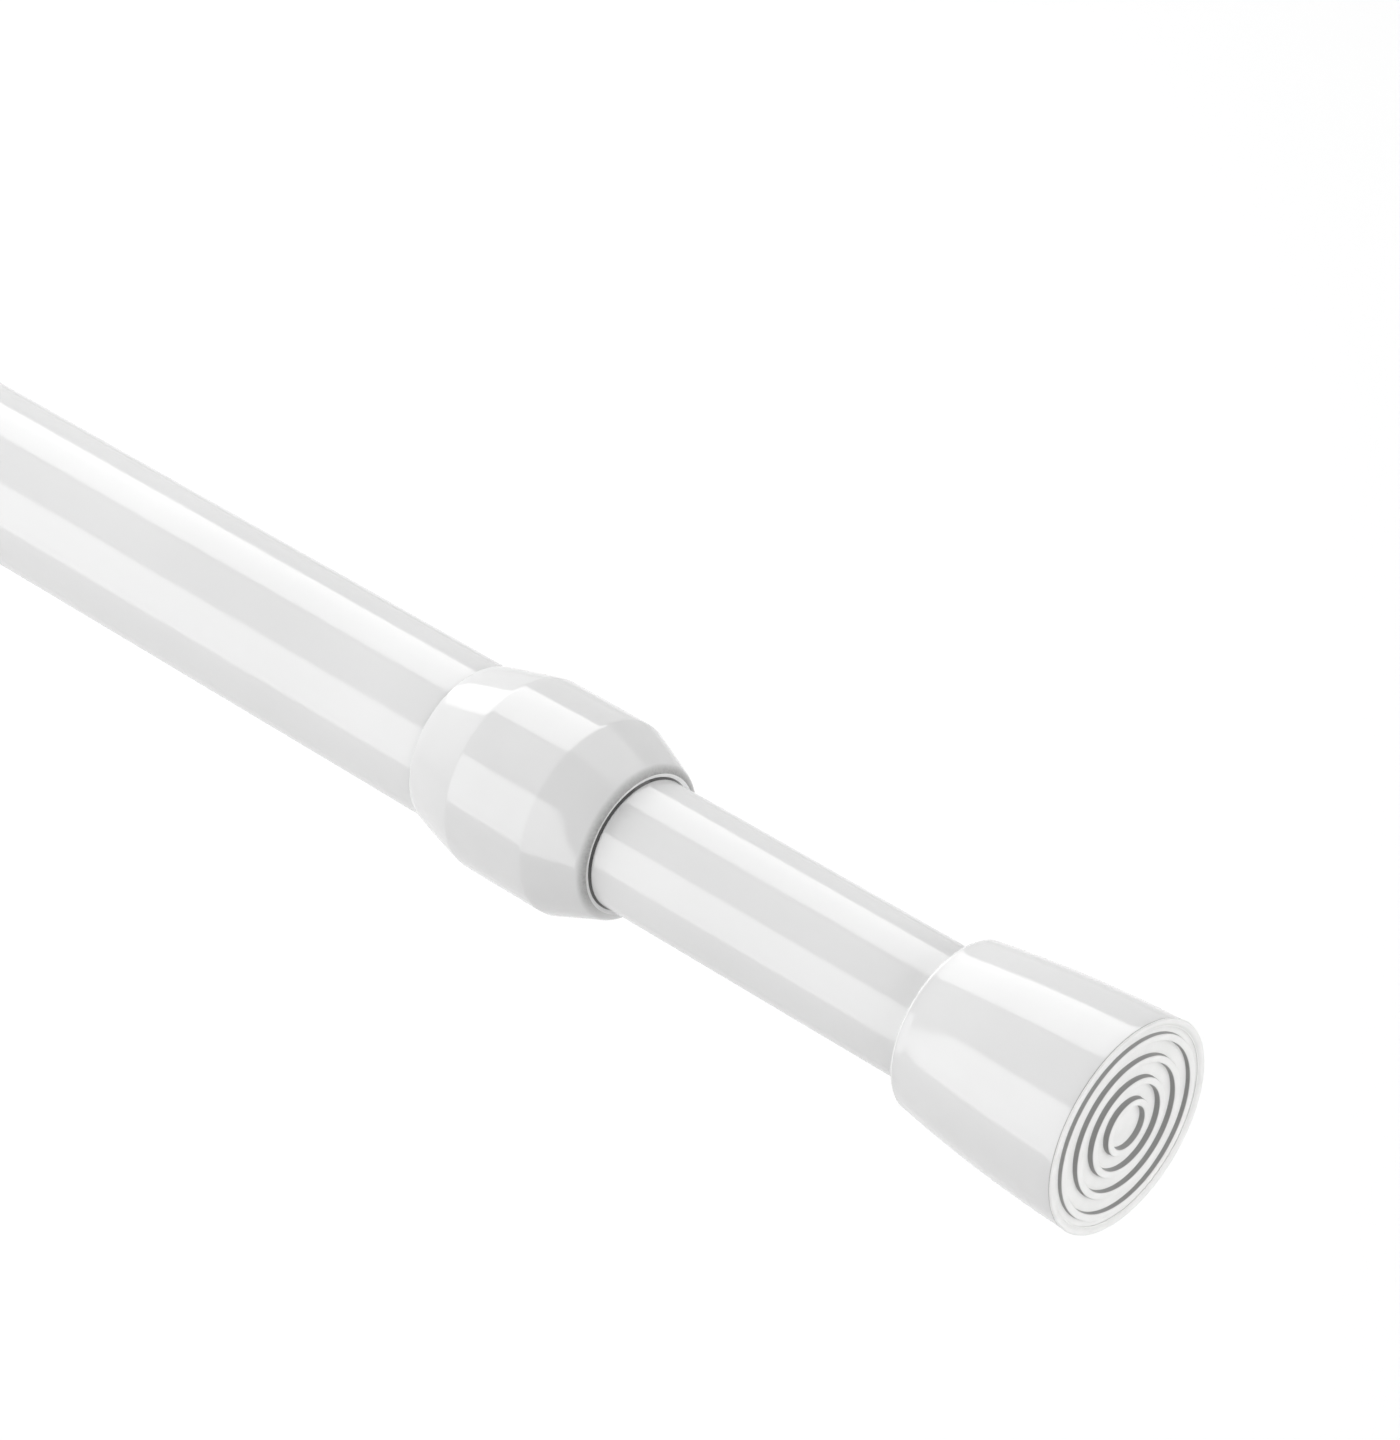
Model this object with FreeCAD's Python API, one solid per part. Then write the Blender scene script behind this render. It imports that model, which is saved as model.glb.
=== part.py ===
# Spring tension rod for a small window or cupboard, in millimetres.
# The rod lies along +X and +Z is up. The origin is the middle of the far foot's gripping
# rings, where the rod presses on the first wall. The wide outer tube starts there, and the
# thin inner tube slides out of its collar towards the second wall.

import FreeCAD, Part
import math
import os

# Tubes
outer_tube_diameter = 16.0
outer_tube_length = 376.2
tube_wall = 0.5
tube_step = 1.0             # room between the outer tube's bore and the inner tube
rest_exposure = 37.9        # bare inner tube between the collar's mouth and the near foot

# Fits
slide_fit = 0.05            # radial, between pieces that turn, slide or push together
grip_fit = 0.08             # radial, between the outer tube's bore and what runs in it
seat_gap = 0.05             # between flat faces that seat on each other
free_gap = 0.4              # between pieces that pass each other and never touch
cut_past = 1.0              # how far a slot runs past the face that it opens

# Feet
cup_length = 19.4
foot_overhang = 2.15        # how far a foot's front edge stands out from the outer tube
near_cup_wall = 1.85        # wall round the inner tube at the near cup's rear edge
far_cup_wall = 1.2
cup_rim_wall = 0.7          # wall round the pad at the front edge
cup_edge_radius = 0.5
cup_front_edge_radius = 0.12
flare_bulge = 0.16          # bulge of the flare, as a part of its rise
pad_pocket_depth = 3.0
web_thickness = 2.0
core_depth = 9.7            # moulding cores behind the pad, and the walls that they leave
core_wall = 0.9
core_rib_thickness = 1.0
core_rib_pairs = 3
socket_lead_in = 0.3

# Pads
pad_lip = 0.25              # how far the ring tops stand out from the seam
pad_lip_overlap = 0.05      # how far the lip reaches past the cup's edge
pad_edge_drop = 0.06
ring_count = 4
ring_pitch = 2.02
ring_width = 0.75
first_ring_radius = 2.4
ring_height = 0.62
ring_draft = 0.05
dish_rise = 0.2             # how far the floor rises from the middle to the land
pad_floor = 1.3
pad_skirt = 1.0             # wall of the skirt that plugs into the cup
stem_radius = 2.5
stem_root_radius = 3.6
stem_hole_fit = 0.1
stem_head_overlap = 0.7
stem_head_length = 1.5

# Collar
collar_band_length = 9.7
collar_band_wall = 1.89
collar_rear_length = 6.4
collar_rear_wall = 0.28
collar_rear_bulge = 0.06
collar_front_length = 5.3
collar_mouth_depth = 3.75
collar_mouth_gap = 0.35     # between the inner tube and the collar's mouth
collar_lip_wall = 0.95
collar_lip_radius = 0.4

# Guide sleeve
sleeve_length = 14.0
sleeve_flange_thickness = 0.75
sleeve_flange_edge = 0.1    # how far the flange stays inside the tube's outside
sleeve_slot_width = 1.2
sleeve_slot_length = 9.0
sleeve_slot_pairs = 2

# Twist lock
lock_travel = 3.0
closed_gap = 1.2
closed_mouth_gap = 0.6
thread_radius = 2.5
journal_step = 0.5          # how far the journal stands over the screw
spindle_tip = 0.9
end_nut_thickness = 3.0
end_nut_wall = 1.45         # between the nut's bore and its flats
nut_chamfer = 0.35
cone_length = 9.0
cone_bite = 4.0             # how far the cone reaches into the collet when it is locked
key_pairs = 2
key_width = 1.0
key_play = 0.1              # on each side of a key in its slot
key_edge = 0.25             # how far a key stays inside the collet's outside
key_length = 7.0
collet_length = 21.0
collet_finger_wall = 1.5
collet_taper_length = 13.0
collet_throat_gap = 0.4
collet_slot_length = 14.6
drag_ring_section = 1.3
drag_ring_spacing = 2.7
drag_ring_side_gap = 0.1
thrust_washer_thickness = 0.8
spindle_flange_step = 2.0   # how far the flange stands over the shaft
spindle_flange_thickness = 2.0

# Spring end
spring_travel = 15.0
bush_flange_thickness = 2.5
bush_length = 12.0
bead_depth = 0.4
bead_half_width = 1.0
bush_bead = 6.0             # from the inner tube's end to the bead that holds the bush
tail_washer_thickness = 1.2
tail_nut_thickness = 3.0
tail_nut_wall = 0.7
tail_tip = 0.75
shaft_flat_step = 0.3       # how far the shaft's two flats stand over its tail
shaft_round_step = 0.7      # and how far its round sides stand over the flats
spring_length = 60.0
spring_wire = 1.4
spring_turns = 14
spring_side_gap = 0.6
spring_bore_gap = 0.25
plug_length = 12.0
plug_spigot_length = 6.5
plug_bead = 6.0
plug_core_radius = 3.5
plug_core_depth = 8.0

# Radii that follow from the tubes
outer_radius = outer_tube_diameter / 2
outer_bore = outer_radius - tube_wall
inner_radius = outer_bore - tube_step
inner_bore = inner_radius - tube_wall
cup_front_radius = outer_radius + foot_overhang
pad_pocket_radius = cup_front_radius - cup_rim_wall
journal_radius = thread_radius + journal_step
collet_radius = outer_bore - grip_fit
collet_mouth_radius = collet_radius - collet_finger_wall
collet_throat_radius = journal_radius + collet_throat_gap
spring_radius = inner_bore - spring_side_gap - spring_wire / 2
spring_inside = spring_radius - spring_wire / 2
end_nut_flats = 2 * (thread_radius + slide_fit + end_nut_wall)
tail_nut_flats = (spring_inside - spring_bore_gap) * math.sqrt(3)
tail_radius = tail_nut_flats / 2 - tail_nut_wall - slide_fit
shaft_flat = tail_radius + shaft_flat_step
shaft_radius = shaft_flat + shaft_round_step
spindle_flange_radius = shaft_radius + spindle_flange_step
bar_height = 3 * outer_radius

# Stations of a foot, from its ring tops towards its tube
seam_at = pad_lip
web_front_at = seam_at + pad_pocket_depth
web_back_at = web_front_at + web_thickness
tube_seat_at = web_back_at + seat_gap
stem_head_end_at = tube_seat_at + stem_head_length
cup_rear_at = seam_at + cup_length

# Stations along the rod
outer_tube_end = tube_seat_at + outer_tube_length
sleeve_flange_start = outer_tube_end + seat_gap
sleeve_flange_end = sleeve_flange_start + sleeve_flange_thickness
collar_shoulder = sleeve_flange_end + seat_gap
collar_mouth = collar_shoulder + collar_mouth_depth
rod_length = collar_mouth + rest_exposure + cup_rear_at
closing_travel = rest_exposure - spring_travel - closed_mouth_gap
spindle_start = stem_head_end_at + closed_gap + closing_travel
end_nut_start = spindle_start + spindle_tip
end_nut_end = end_nut_start + end_nut_thickness
cone_back = end_nut_end + key_play + lock_travel
cone_front = cone_back + cone_length
collet_start = cone_front - cone_bite
collet_end = collet_start + collet_length
thrust_washer_start = collet_end + seat_gap
thrust_washer_end = thrust_washer_start + thrust_washer_thickness
flange_start = thrust_washer_end + seat_gap
flange_end = flange_start + spindle_flange_thickness
bush_start = flange_end + free_gap + spring_travel
bush_flange_end = bush_start + bush_flange_thickness
inner_tube_start = bush_flange_end + seat_gap
inner_tube_end = rod_length - tube_seat_at
bush_end = bush_flange_end + bush_length
shaft_end = bush_end + seat_gap
tail_washer_start = shaft_end + seat_gap
tail_washer_end = tail_washer_start + tail_washer_thickness
tail_nut_start = tail_washer_end + seat_gap
tail_nut_end = tail_nut_start + tail_nut_thickness
spindle_end = tail_nut_end + tail_tip
spring_start = tail_washer_end + seat_gap
spring_end = spring_start + spring_length
plug_start = spring_end + seat_gap
plug_end = plug_start + plug_length

rod_axis = FreeCAD.Vector(1, 0, 0)
up = FreeCAD.Vector(0, 0, 1)
centre = FreeCAD.Vector(0, 0, 0)


def at(x, radius):
    return FreeCAD.Vector(x, 0, radius)


def turned(start, *steps):
    # Turns an outline of (x, radius) corners about the rod's axis. A step that holds two
    # points is an arc: a point on its way, and its end.
    edges = []
    here = at(*start)
    for step in steps + (start,):
        if isinstance(step[0], tuple):
            end = at(*step[1])
            edges.append(Part.Arc(here, at(*step[0]), end).toShape())
        else:
            end = at(*step)
            edges.append(Part.LineSegment(here, end).toShape())
        here = end
    return Part.Face(Part.Wire(edges)).revolve(centre, rod_axis, 360)


def ring(start, end, outside, bore):
    return turned((start, bore), (end, bore), (end, outside), (start, outside))


def blade(start, end, width):
    # A flat bar through the axis, taller than any piece, for slots, flats, keys and ribs.
    corner = FreeCAD.Vector(start, -width / 2, -bar_height / 2)
    return Part.makeBox(end - start, width, bar_height, corner)


def blades(count, start, end, width):
    # Bars fanned evenly about the axis, so that each makes two slots, keys or ribs.
    fan = []
    for number in range(count):
        bar = blade(start, end, width)
        bar.rotate(centre, rod_axis, 180 * number / count)
        fan.append(bar)
    return fan[0].fuse(fan[1:])


def hex_nut(start, thickness, across_flats, bore):
    # A nut with its corners turned down to a chamfer at both faces.
    corner_radius = across_flats / math.sqrt(3)
    corners = []
    for number in range(7):
        turn = math.radians(60 * number)
        corners.append(FreeCAD.Vector(start, corner_radius * math.cos(turn), corner_radius * math.sin(turn)))
    prism = Part.Face(Part.makePolygon(corners)).extrude(rod_axis * thickness)
    end = start + thickness
    face_radius = corner_radius - nut_chamfer * 1.5
    blank = turned(
        (start, bore),
        (end, bore),
        (end, face_radius),
        (end - nut_chamfer, corner_radius),
        (start + nut_chamfer, corner_radius),
        (start, face_radius),
    )
    return prism.common(blank)


def floor_depth(radius):
    # The pad's floor is a shallow dish, deepest in the middle.
    return ring_height - dish_rise * (radius / pad_pocket_radius) ** 3


def end_pad():
    # One soft moulding: gripping rings, a lip over the cup's edge, a skirt that plugs into
    # the cup, and a stem whose head snaps through the web.
    lip_radius = cup_front_radius + pad_lip_overlap
    skirt_radius = pad_pocket_radius - slide_fit
    back = web_front_at - seat_gap
    head_radius = stem_radius + stem_head_overlap
    face = [(floor_depth(0), 0)]
    for number in range(ring_count):
        middle = first_ring_radius + number * ring_pitch
        inner = middle - ring_width / 2
        outer = middle + ring_width / 2
        face.append((floor_depth(inner), inner))
        face.append((0, inner + ring_draft))
        face.append((0, outer - ring_draft))
        face.append((floor_depth(outer), outer))
    land_end = pad_pocket_radius - pad_skirt / 6
    return turned(
        *face,
        (floor_depth(land_end), land_end),
        (pad_edge_drop, lip_radius - 2 * pad_lip),
        ((seam_at * 0.45, lip_radius - 0.3 * pad_lip), (seam_at, lip_radius)),
        (seam_at, skirt_radius),
        (back, skirt_radius),
        (back, skirt_radius - pad_skirt),
        (ring_height + pad_floor, skirt_radius - pad_skirt),
        (ring_height + pad_floor, stem_root_radius),
        (back, stem_root_radius),
        (back, stem_radius),
        (tube_seat_at, stem_radius),
        (tube_seat_at, head_radius),
        (tube_seat_at + stem_head_length / 4, head_radius),
        (stem_head_end_at, stem_radius - stem_head_overlap / 2),
        (stem_head_end_at, 0),
    )


def end_cup(tube_radius, rear_wall):
    # The flared cup: a socket for the tube, a web, and a pocket for the pad.
    socket = tube_radius + slide_fit
    rear_radius = tube_radius + rear_wall
    rise = cup_front_radius - rear_radius
    edge = cup_edge_radius
    front_edge = cup_front_edge_radius
    middle_at = (seam_at + cup_rear_at) / 2
    middle_radius = rear_radius + rise * (0.5 + flare_bulge)
    soft = 1 - math.sqrt(0.5)
    return turned(
        (seam_at, pad_pocket_radius),
        (seam_at, cup_front_radius - front_edge),
        ((seam_at + soft * front_edge, cup_front_radius - soft * front_edge), (seam_at + front_edge, cup_front_radius)),
        ((middle_at, middle_radius), (cup_rear_at - edge, rear_radius)),
        ((cup_rear_at - soft * edge, rear_radius - soft * edge), (cup_rear_at, rear_radius - edge)),
        (cup_rear_at, socket + socket_lead_in),
        (cup_rear_at - socket_lead_in, socket),
        (web_back_at, socket),
        (web_back_at, stem_radius + stem_hole_fit),
        (web_front_at, stem_radius + stem_hole_fit),
        (web_front_at, pad_pocket_radius),
    )


def moulding_cores(tube_radius, rear_wall):
    # Pockets that keep the near cup's thick flare hollow, with ribs left between them.
    inside = tube_radius + slide_fit + core_wall
    rear_radius = tube_radius + rear_wall
    slope = (rear_radius - cup_front_radius) / cup_length
    deep_at = web_front_at + core_depth
    front_radius = cup_front_radius + slope * (web_front_at - seam_at) - core_wall
    deep_radius = cup_front_radius + slope * (deep_at - seam_at) - core_wall
    pocket = turned(
        (web_front_at, inside),
        (deep_at, inside),
        (deep_at, deep_radius),
        (web_front_at, front_radius),
    )
    ribs = blades(core_rib_pairs, web_front_at, deep_at, core_rib_thickness)
    return pocket.cut(ribs)


def at_near_end(shape):
    # Turns a foot's piece round and carries it to the inner tube's end.
    moved = shape.copy()
    moved.rotate(centre, up, 180)
    moved.translate(rod_axis * rod_length)
    return moved


def inner_end_cup():
    cup = end_cup(inner_radius, near_cup_wall)
    return at_near_end(cup.cut(moulding_cores(inner_radius, near_cup_wall)))


def collar():
    # The cap on the outer tube's mouth: two cones with a plain band between them.
    seat = outer_radius + slide_fit
    mouth = inner_radius + collar_mouth_gap
    band_radius = outer_radius + collar_band_wall
    rear_radius = outer_radius + collar_rear_wall
    band_front = collar_mouth - collar_front_length
    band_rear = band_front - collar_band_length
    rear = band_rear - collar_rear_length
    cone_middle = (rear + band_rear) / 2
    cone_middle_radius = (rear_radius + band_radius) / 2 + collar_rear_bulge
    lip_radius = mouth + collar_lip_wall
    lip = collar_lip_radius
    soft = lip * (1 - math.sqrt(0.5))
    return turned(
        (rear, seat),
        (rear, rear_radius),
        ((cone_middle, cone_middle_radius), (band_rear, band_radius)),
        (band_front, band_radius),
        (collar_mouth, lip_radius),
        ((collar_mouth + lip - soft, lip_radius - soft), (collar_mouth + lip, lip_radius - lip)),
        (collar_mouth + lip, mouth + lip / 2),
        (collar_mouth + lip / 2, mouth),
        (collar_shoulder, mouth),
        (collar_shoulder, seat),
    )


def guide_sleeve():
    # A nylon liner between the tubes. Its flange is held between the tube's end and the
    # collar's shoulder, and its slots let it close on the inner tube.
    bore = inner_radius + grip_fit
    barrel = outer_bore - slide_fit
    flange = outer_radius - sleeve_flange_edge
    rear = sleeve_flange_start - sleeve_length
    lead = slide_fit * 4
    body = turned(
        (rear, bore + lead),
        (rear + lead, bore),
        (sleeve_flange_end, bore),
        (sleeve_flange_end, flange),
        (sleeve_flange_start, flange),
        (sleeve_flange_start, barrel),
        (rear + lead, barrel),
        (rear, barrel - lead),
    )
    slots = blades(sleeve_slot_pairs, rear - cut_past, rear + sleeve_slot_length, sleeve_slot_width)
    return body.cut(slots)


def outer_tube():
    return ring(tube_seat_at, outer_tube_end, outer_radius, outer_bore)


def bead(place, radius, depth, half_width, forwards):
    # A rolled groove in an outline, as one arc between its two edges.
    first = (place - half_width, radius)
    last = (place + half_width, radius)
    if not forwards:
        first, last = last, first
    return [first, ((place, radius - depth), last)]


def inner_tube():
    # Two rolled beads hold the guide bush and the spring's stop plug.
    beads = [inner_tube_start + bush_bead, plug_start + plug_bead]
    outside = []
    inside = []
    for place in beads:
        outside += bead(place, inner_radius, bead_depth, bead_half_width, True)
    for place in reversed(beads):
        inside += bead(place, inner_bore, bead_depth, bead_half_width, False)
    return turned(
        (inner_tube_start, inner_radius),
        *outside,
        (inner_tube_end, inner_radius),
        (inner_tube_end, inner_bore),
        *inside,
        (inner_tube_start, inner_bore),
    )


def guide_bush():
    # Carries the inner tube's hidden end. Its flat-sided bore slides on the spindle's shaft
    # and turns it, and its flange runs in the outer tube.
    flange = outer_bore - grip_fit
    spigot = inner_bore - slide_fit
    groove_width = bead_half_width + slide_fit
    edge = bush_flange_thickness / 5
    body = turned(
        (bush_start, 0),
        (bush_start, flange - edge),
        (bush_start + edge, flange),
        (bush_flange_end - edge, flange),
        (bush_flange_end, flange - edge),
        (bush_flange_end, spigot),
        *bead(inner_tube_start + bush_bead, spigot, bead_depth + slide_fit, groove_width, True),
        (bush_end, spigot),
        (bush_end, 0),
    )
    round_bore = ring(bush_start, bush_end, shaft_radius + slide_fit, 0)
    flat_bore = blade(bush_start, bush_end, 2 * (shaft_flat + slide_fit))
    return body.cut(round_bore.common(flat_bore))


def stop_plug():
    # The spring pushes on this plug, which the tube's second bead holds.
    radius = inner_bore - slide_fit
    spigot = spring_inside - spring_bore_gap
    groove_width = bead_half_width + slide_fit
    tip = spigot / 4
    return turned(
        (plug_start - plug_spigot_length, 0),
        (plug_start - plug_spigot_length, spigot - tip),
        (plug_start - plug_spigot_length + tip, spigot),
        (plug_start, spigot),
        (plug_start, radius),
        *bead(plug_start + plug_bead, radius, bead_depth + slide_fit, groove_width, True),
        (plug_end, radius),
        (plug_end, plug_core_radius),
        (plug_end - plug_core_depth, plug_core_radius),
        (plug_end - plug_core_depth, 0),
    )


def spindle():
    # Screw, journal, thrust flange, flat-sided drive shaft and threaded tail in one bar.
    tip = thread_radius / 5
    journal_start = collet_start + collet_taper_length
    bar = turned(
        (spindle_start, 0),
        (spindle_start, thread_radius - tip),
        (spindle_start + tip, thread_radius),
        (journal_start, thread_radius),
        (journal_start + tip, journal_radius),
        (flange_start, journal_radius),
        (flange_start, spindle_flange_radius),
        (flange_end, spindle_flange_radius),
        (flange_end, 0),
    )
    shaft = ring(flange_end, shaft_end, shaft_radius, 0)
    flats = blade(flange_end, shaft_end, 2 * shaft_flat)
    tail = turned(
        (shaft_end, 0),
        (shaft_end, tail_radius),
        (spindle_end - tip, tail_radius),
        (spindle_end, tail_radius - tip),
        (spindle_end, 0),
    )
    return bar.fuse([shaft.common(flats), tail]).removeSplitter()


def taper_radius(x):
    # The collet's tapered bore, which the cone follows with a sliding fit.
    fall = (collet_throat_radius - collet_mouth_radius) / collet_taper_length
    return collet_mouth_radius + fall * (x - collet_start)


def expander_cone():
    # A nut with a tapered nose. Its keys ride in the collet's slots, so it can't turn and
    # the screw draws it in.
    bore = thread_radius + slide_fit
    edge = key_width / 4
    nose = turned(
        (cone_back, bore),
        (cone_back, taper_radius(cone_back) - slide_fit - edge),
        (cone_back + edge, taper_radius(cone_back + edge) - slide_fit),
        (cone_front, taper_radius(cone_front) - slide_fit),
        (cone_front, bore),
    )
    key_start = cone_front - key_length
    bars = blades(key_pairs, key_start, cone_front, key_width)
    keys = ring(key_start, cone_front, collet_radius - key_edge, bore).common(bars)
    return nose.fuse(keys).removeSplitter()


def drag_ring_places():
    middle = (collet_start + collet_slot_length + collet_end) / 2
    return [middle - drag_ring_spacing / 2, middle + drag_ring_spacing / 2]


def drag_ring(place):
    # A rubber ring that drags on the outer tube, so that the collet stays still while the
    # screw turns in it.
    section = drag_ring_section / 2
    return Part.makeTorus(outer_bore - slide_fit - section, section, at(place, 0), rod_axis)


def grip_collet():
    # Four spring fingers on a base ring. The cone spreads them against the outer tube.
    throat = collet_start + collet_taper_length
    slot_end = collet_start + collet_slot_length
    edge = collet_finger_wall / 5
    groove_floor = outer_bore - slide_fit - drag_ring_section - slide_fit
    groove_half = drag_ring_section / 2 + drag_ring_side_gap
    body = turned(
        (collet_start, collet_mouth_radius),
        (throat, collet_throat_radius),
        (slot_end, collet_throat_radius),
        (slot_end, journal_radius + slide_fit),
        (collet_end, journal_radius + slide_fit),
        (collet_end, collet_radius - edge),
        (collet_end - edge, collet_radius),
        (collet_start + edge, collet_radius),
        (collet_start, collet_radius - edge),
    )
    slots = blades(key_pairs, collet_start - cut_past, slot_end, key_width + 2 * key_play)
    grooves = []
    for place in drag_ring_places():
        grooves.append(ring(place - groove_half, place + groove_half, outer_radius, groove_floor))
    return body.cut([slots] + grooves)


def thrust_washer():
    return ring(thrust_washer_start, thrust_washer_end, spindle_flange_radius, journal_radius + slide_fit)


def tail_washer():
    return ring(tail_washer_start, tail_washer_end, inner_bore - free_gap, tail_radius + slide_fit)


def end_nut():
    return hex_nut(end_nut_start, end_nut_thickness, end_nut_flats, thread_radius + slide_fit)


def tail_nut():
    return hex_nut(tail_nut_start, tail_nut_thickness, tail_nut_flats, tail_radius + slide_fit)


def compression_spring():
    # A closed and ground coil: one flat turn at each end, and open turns between them.
    end_pitch = spring_wire + slide_fit
    open_height = spring_length - spring_wire - 2 * end_pitch
    heights = [end_pitch, open_height, end_pitch]
    pitches = [end_pitch, open_height / spring_turns, end_pitch]
    edges = []
    base = spring_wire / 2
    for pitch, height in zip(pitches, heights):
        coil = Part.makeHelix(pitch, height, spring_radius)
        coil.translate(up * base)
        edges += coil.Edges
        base += height
    path = Part.Wire(edges)
    start = FreeCAD.Vector(spring_radius, 0, spring_wire / 2)
    section = Part.Wire([Part.makeCircle(spring_wire / 2, start, FreeCAD.Vector(0, 1, 0))])
    coil = path.makePipeShell([section], True, True)
    coil.rotate(centre, FreeCAD.Vector(0, 1, 0), 90)
    coil.translate(rod_axis * spring_start)
    return coil


pieces = {
    "outer_end_pad": end_pad(),
    "outer_end_cup": end_cup(outer_radius, far_cup_wall),
    "outer_tube": outer_tube(),
    "collar": collar(),
    "guide_sleeve": guide_sleeve(),
    "end_nut": end_nut(),
    "expander_cone": expander_cone(),
    "grip_collet": grip_collet(),
    "drag_ring_rear": drag_ring(drag_ring_places()[0]),
    "drag_ring_front": drag_ring(drag_ring_places()[1]),
    "thrust_washer": thrust_washer(),
    "spindle": spindle(),
    "tail_washer": tail_washer(),
    "tail_nut": tail_nut(),
    "guide_bush": guide_bush(),
    "compression_spring": compression_spring(),
    "spring_stop_plug": stop_plug(),
    "inner_tube": inner_tube(),
    "inner_end_cup": inner_end_cup(),
    "inner_end_pad": at_near_end(end_pad()),
}

os.makedirs("parts", exist_ok=True)
for name, shape in pieces.items():
    shape.exportStep("parts/" + name + ".step")
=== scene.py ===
import math
import bmesh
import bpy
from mathutils import Matrix, Vector


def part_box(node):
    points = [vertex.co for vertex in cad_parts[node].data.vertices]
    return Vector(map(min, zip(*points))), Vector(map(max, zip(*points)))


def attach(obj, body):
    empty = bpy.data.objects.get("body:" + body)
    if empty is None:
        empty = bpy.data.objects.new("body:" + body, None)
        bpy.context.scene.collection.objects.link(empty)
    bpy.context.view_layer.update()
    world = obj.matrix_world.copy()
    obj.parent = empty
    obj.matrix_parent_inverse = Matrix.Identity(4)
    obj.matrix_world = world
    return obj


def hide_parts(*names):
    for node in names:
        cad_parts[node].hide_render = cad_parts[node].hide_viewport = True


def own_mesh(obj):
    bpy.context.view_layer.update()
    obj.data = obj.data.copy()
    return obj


# Dressing for the sprung tension rod. Outlines are written in millimetres, as (x along the
# rod, radius) corners, and a third number on a corner is how far its rounding reaches.

MM = 0.001
TURN_STEPS = 160
ROUNDING_STEPS = 4
CREASE = 32
EDGE = 0.2
SEAT_GAP = 0.05

# Tubes, as in the part's source
OUTER_RADIUS = 8.0
INNER_RADIUS = 6.5
TUBE_WALL = 0.5
TUBE_EDGE = 0.1
BEAD_DEPTH = 0.4
BEAD_HALF_WIDTH = 1.0
BEAD_FROM_END = 6.0

# Feet. The rounding of a cup's rear corner stops just short of its flare.
CUP_FRONT_RADIUS = 10.15
CUP_FRONT_EDGE = 0.12
CUP_REAR_EDGE = 0.5
CUP_REAR_ROUNDING = 0.45
CUP_RIM_WALL = 0.7
CUP_LENGTH = 19.4
FAR_CUP_WALL = 1.2
NEAR_CUP_WALL = 1.85
FLARE_BULGE = 0.16
POCKET_DEPTH = 3.0
WEB = 2.0
STEM_HOLE = 2.6

# Pads
PAD_LIP = 0.25
PAD_EDGE_DROP = 0.06
PAD_LAND = 9.28
PAD_BACK = 1.92
SKIRT_WALL = 1.0
STEM_ROOT = 3.6
STEM_RADIUS = 2.5
STEM_HEAD = 3.2
STEM_HEAD_LENGTH = 1.5
RING_COUNT = 4
FIRST_RING = 2.4
RING_PITCH = 2.02
RING_WIDTH = 0.75
RING_HEIGHT = 0.62
RING_DRAFT = 0.05
RING_EDGE = 0.12
GROOVE_FILLET = 0.06
DISH_RISE = 0.2

# Collar. Its mouth narrows like a funnel from the rim to the neck, where a dark fillet fills the
# gap round the thin tube as painted shadow.
BAND_RADIUS = 9.89
BAND_LENGTH = 9.7
FRONT_LENGTH = 5.3
REAR_RADIUS = 8.28
REAR_BULGE = 0.06
REAR_SEAT_EDGE = 0.02
REAR_EDGE = 0.09
LIP = 0.4
LIP_WALL = 0.95
MOUTH_RADIUS = 6.85
MOUTH_DEPTH = 3.75
SHOULDER_ROUNDING = 0.3
RIM_RADIUS = 7.07
RIM_EDGE = 0.04
NECK_RADIUS = 6.7
NECK_DEPTH = 0.16
SHADOW_FILL_RADIUS = 6.53
SHADOW_FILL_PROUD = 0.12
SHADOW_FILL_DEPTH = 0.4
SHADOW_FILL_BLEND = 0.03

# Twist lock and spring
SCREW_RADIUS = 2.5
SCREW_PITCH = 2.0
THREAD_DEPTH = 0.6
THREAD_CREST = (0.3, 0.6)
THREAD_FOOT = 0.9
THREAD_ROUNDING = 0.1
COLLET_TAPER = 13.0
JOURNAL_RADIUS = 3.0
JOURNAL_SHOULDER = 0.5
FLANGE_RADIUS = 5.49
FLANGE_THICKNESS = 2.0
SHAFT_RADIUS = 3.49
SHAFT_FLAT = 2.79
TAIL_RADIUS = 2.49
TAIL_PITCH = 0.8
SPRING_WIRE = 1.4
SPRING_RADIUS = 4.7
SPRING_TURNS = 14
COIL_STEPS = 48
WIRE_SIDES = 16

# Painted shade: how far it reaches back from the collar's rim, the heights over the rod's axis
# between which it thins out, and its grain; how softly the painted highlight on the rim's funnel
# ends; how much of a cup's front edge the painted shade in its seam covers; and how far the pads'
# slopes face along the rod where the painted shade on them begins and where it is full
MOUTH_SHADE = 0.65
SHADE_NONE_AT = -7.5
SHADE_FULL_AT = -1
SHADE_GRAIN = 0.25
HIGHLIGHT_EDGE = 0.05
SEAM_SHADE = 0.12
WALL_SHADE_STARTS_AT = 0.7
WALL_SHADE_FULL_AT = 0.25

# Lathe marks on the turned steel
LATHE_FEED = 0.12
LATHE_RELIEF = 0.002

# Camera: its place from the middle of the collar's mouth, in millimetres, and the way it looks
FOCAL_LENGTH = 116.2
CAMERA_FROM_MOUTH = (235.91, -240.07, 255.34)
CAMERA_AIM = (-0.5595, 0.5889, -0.5832)

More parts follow.
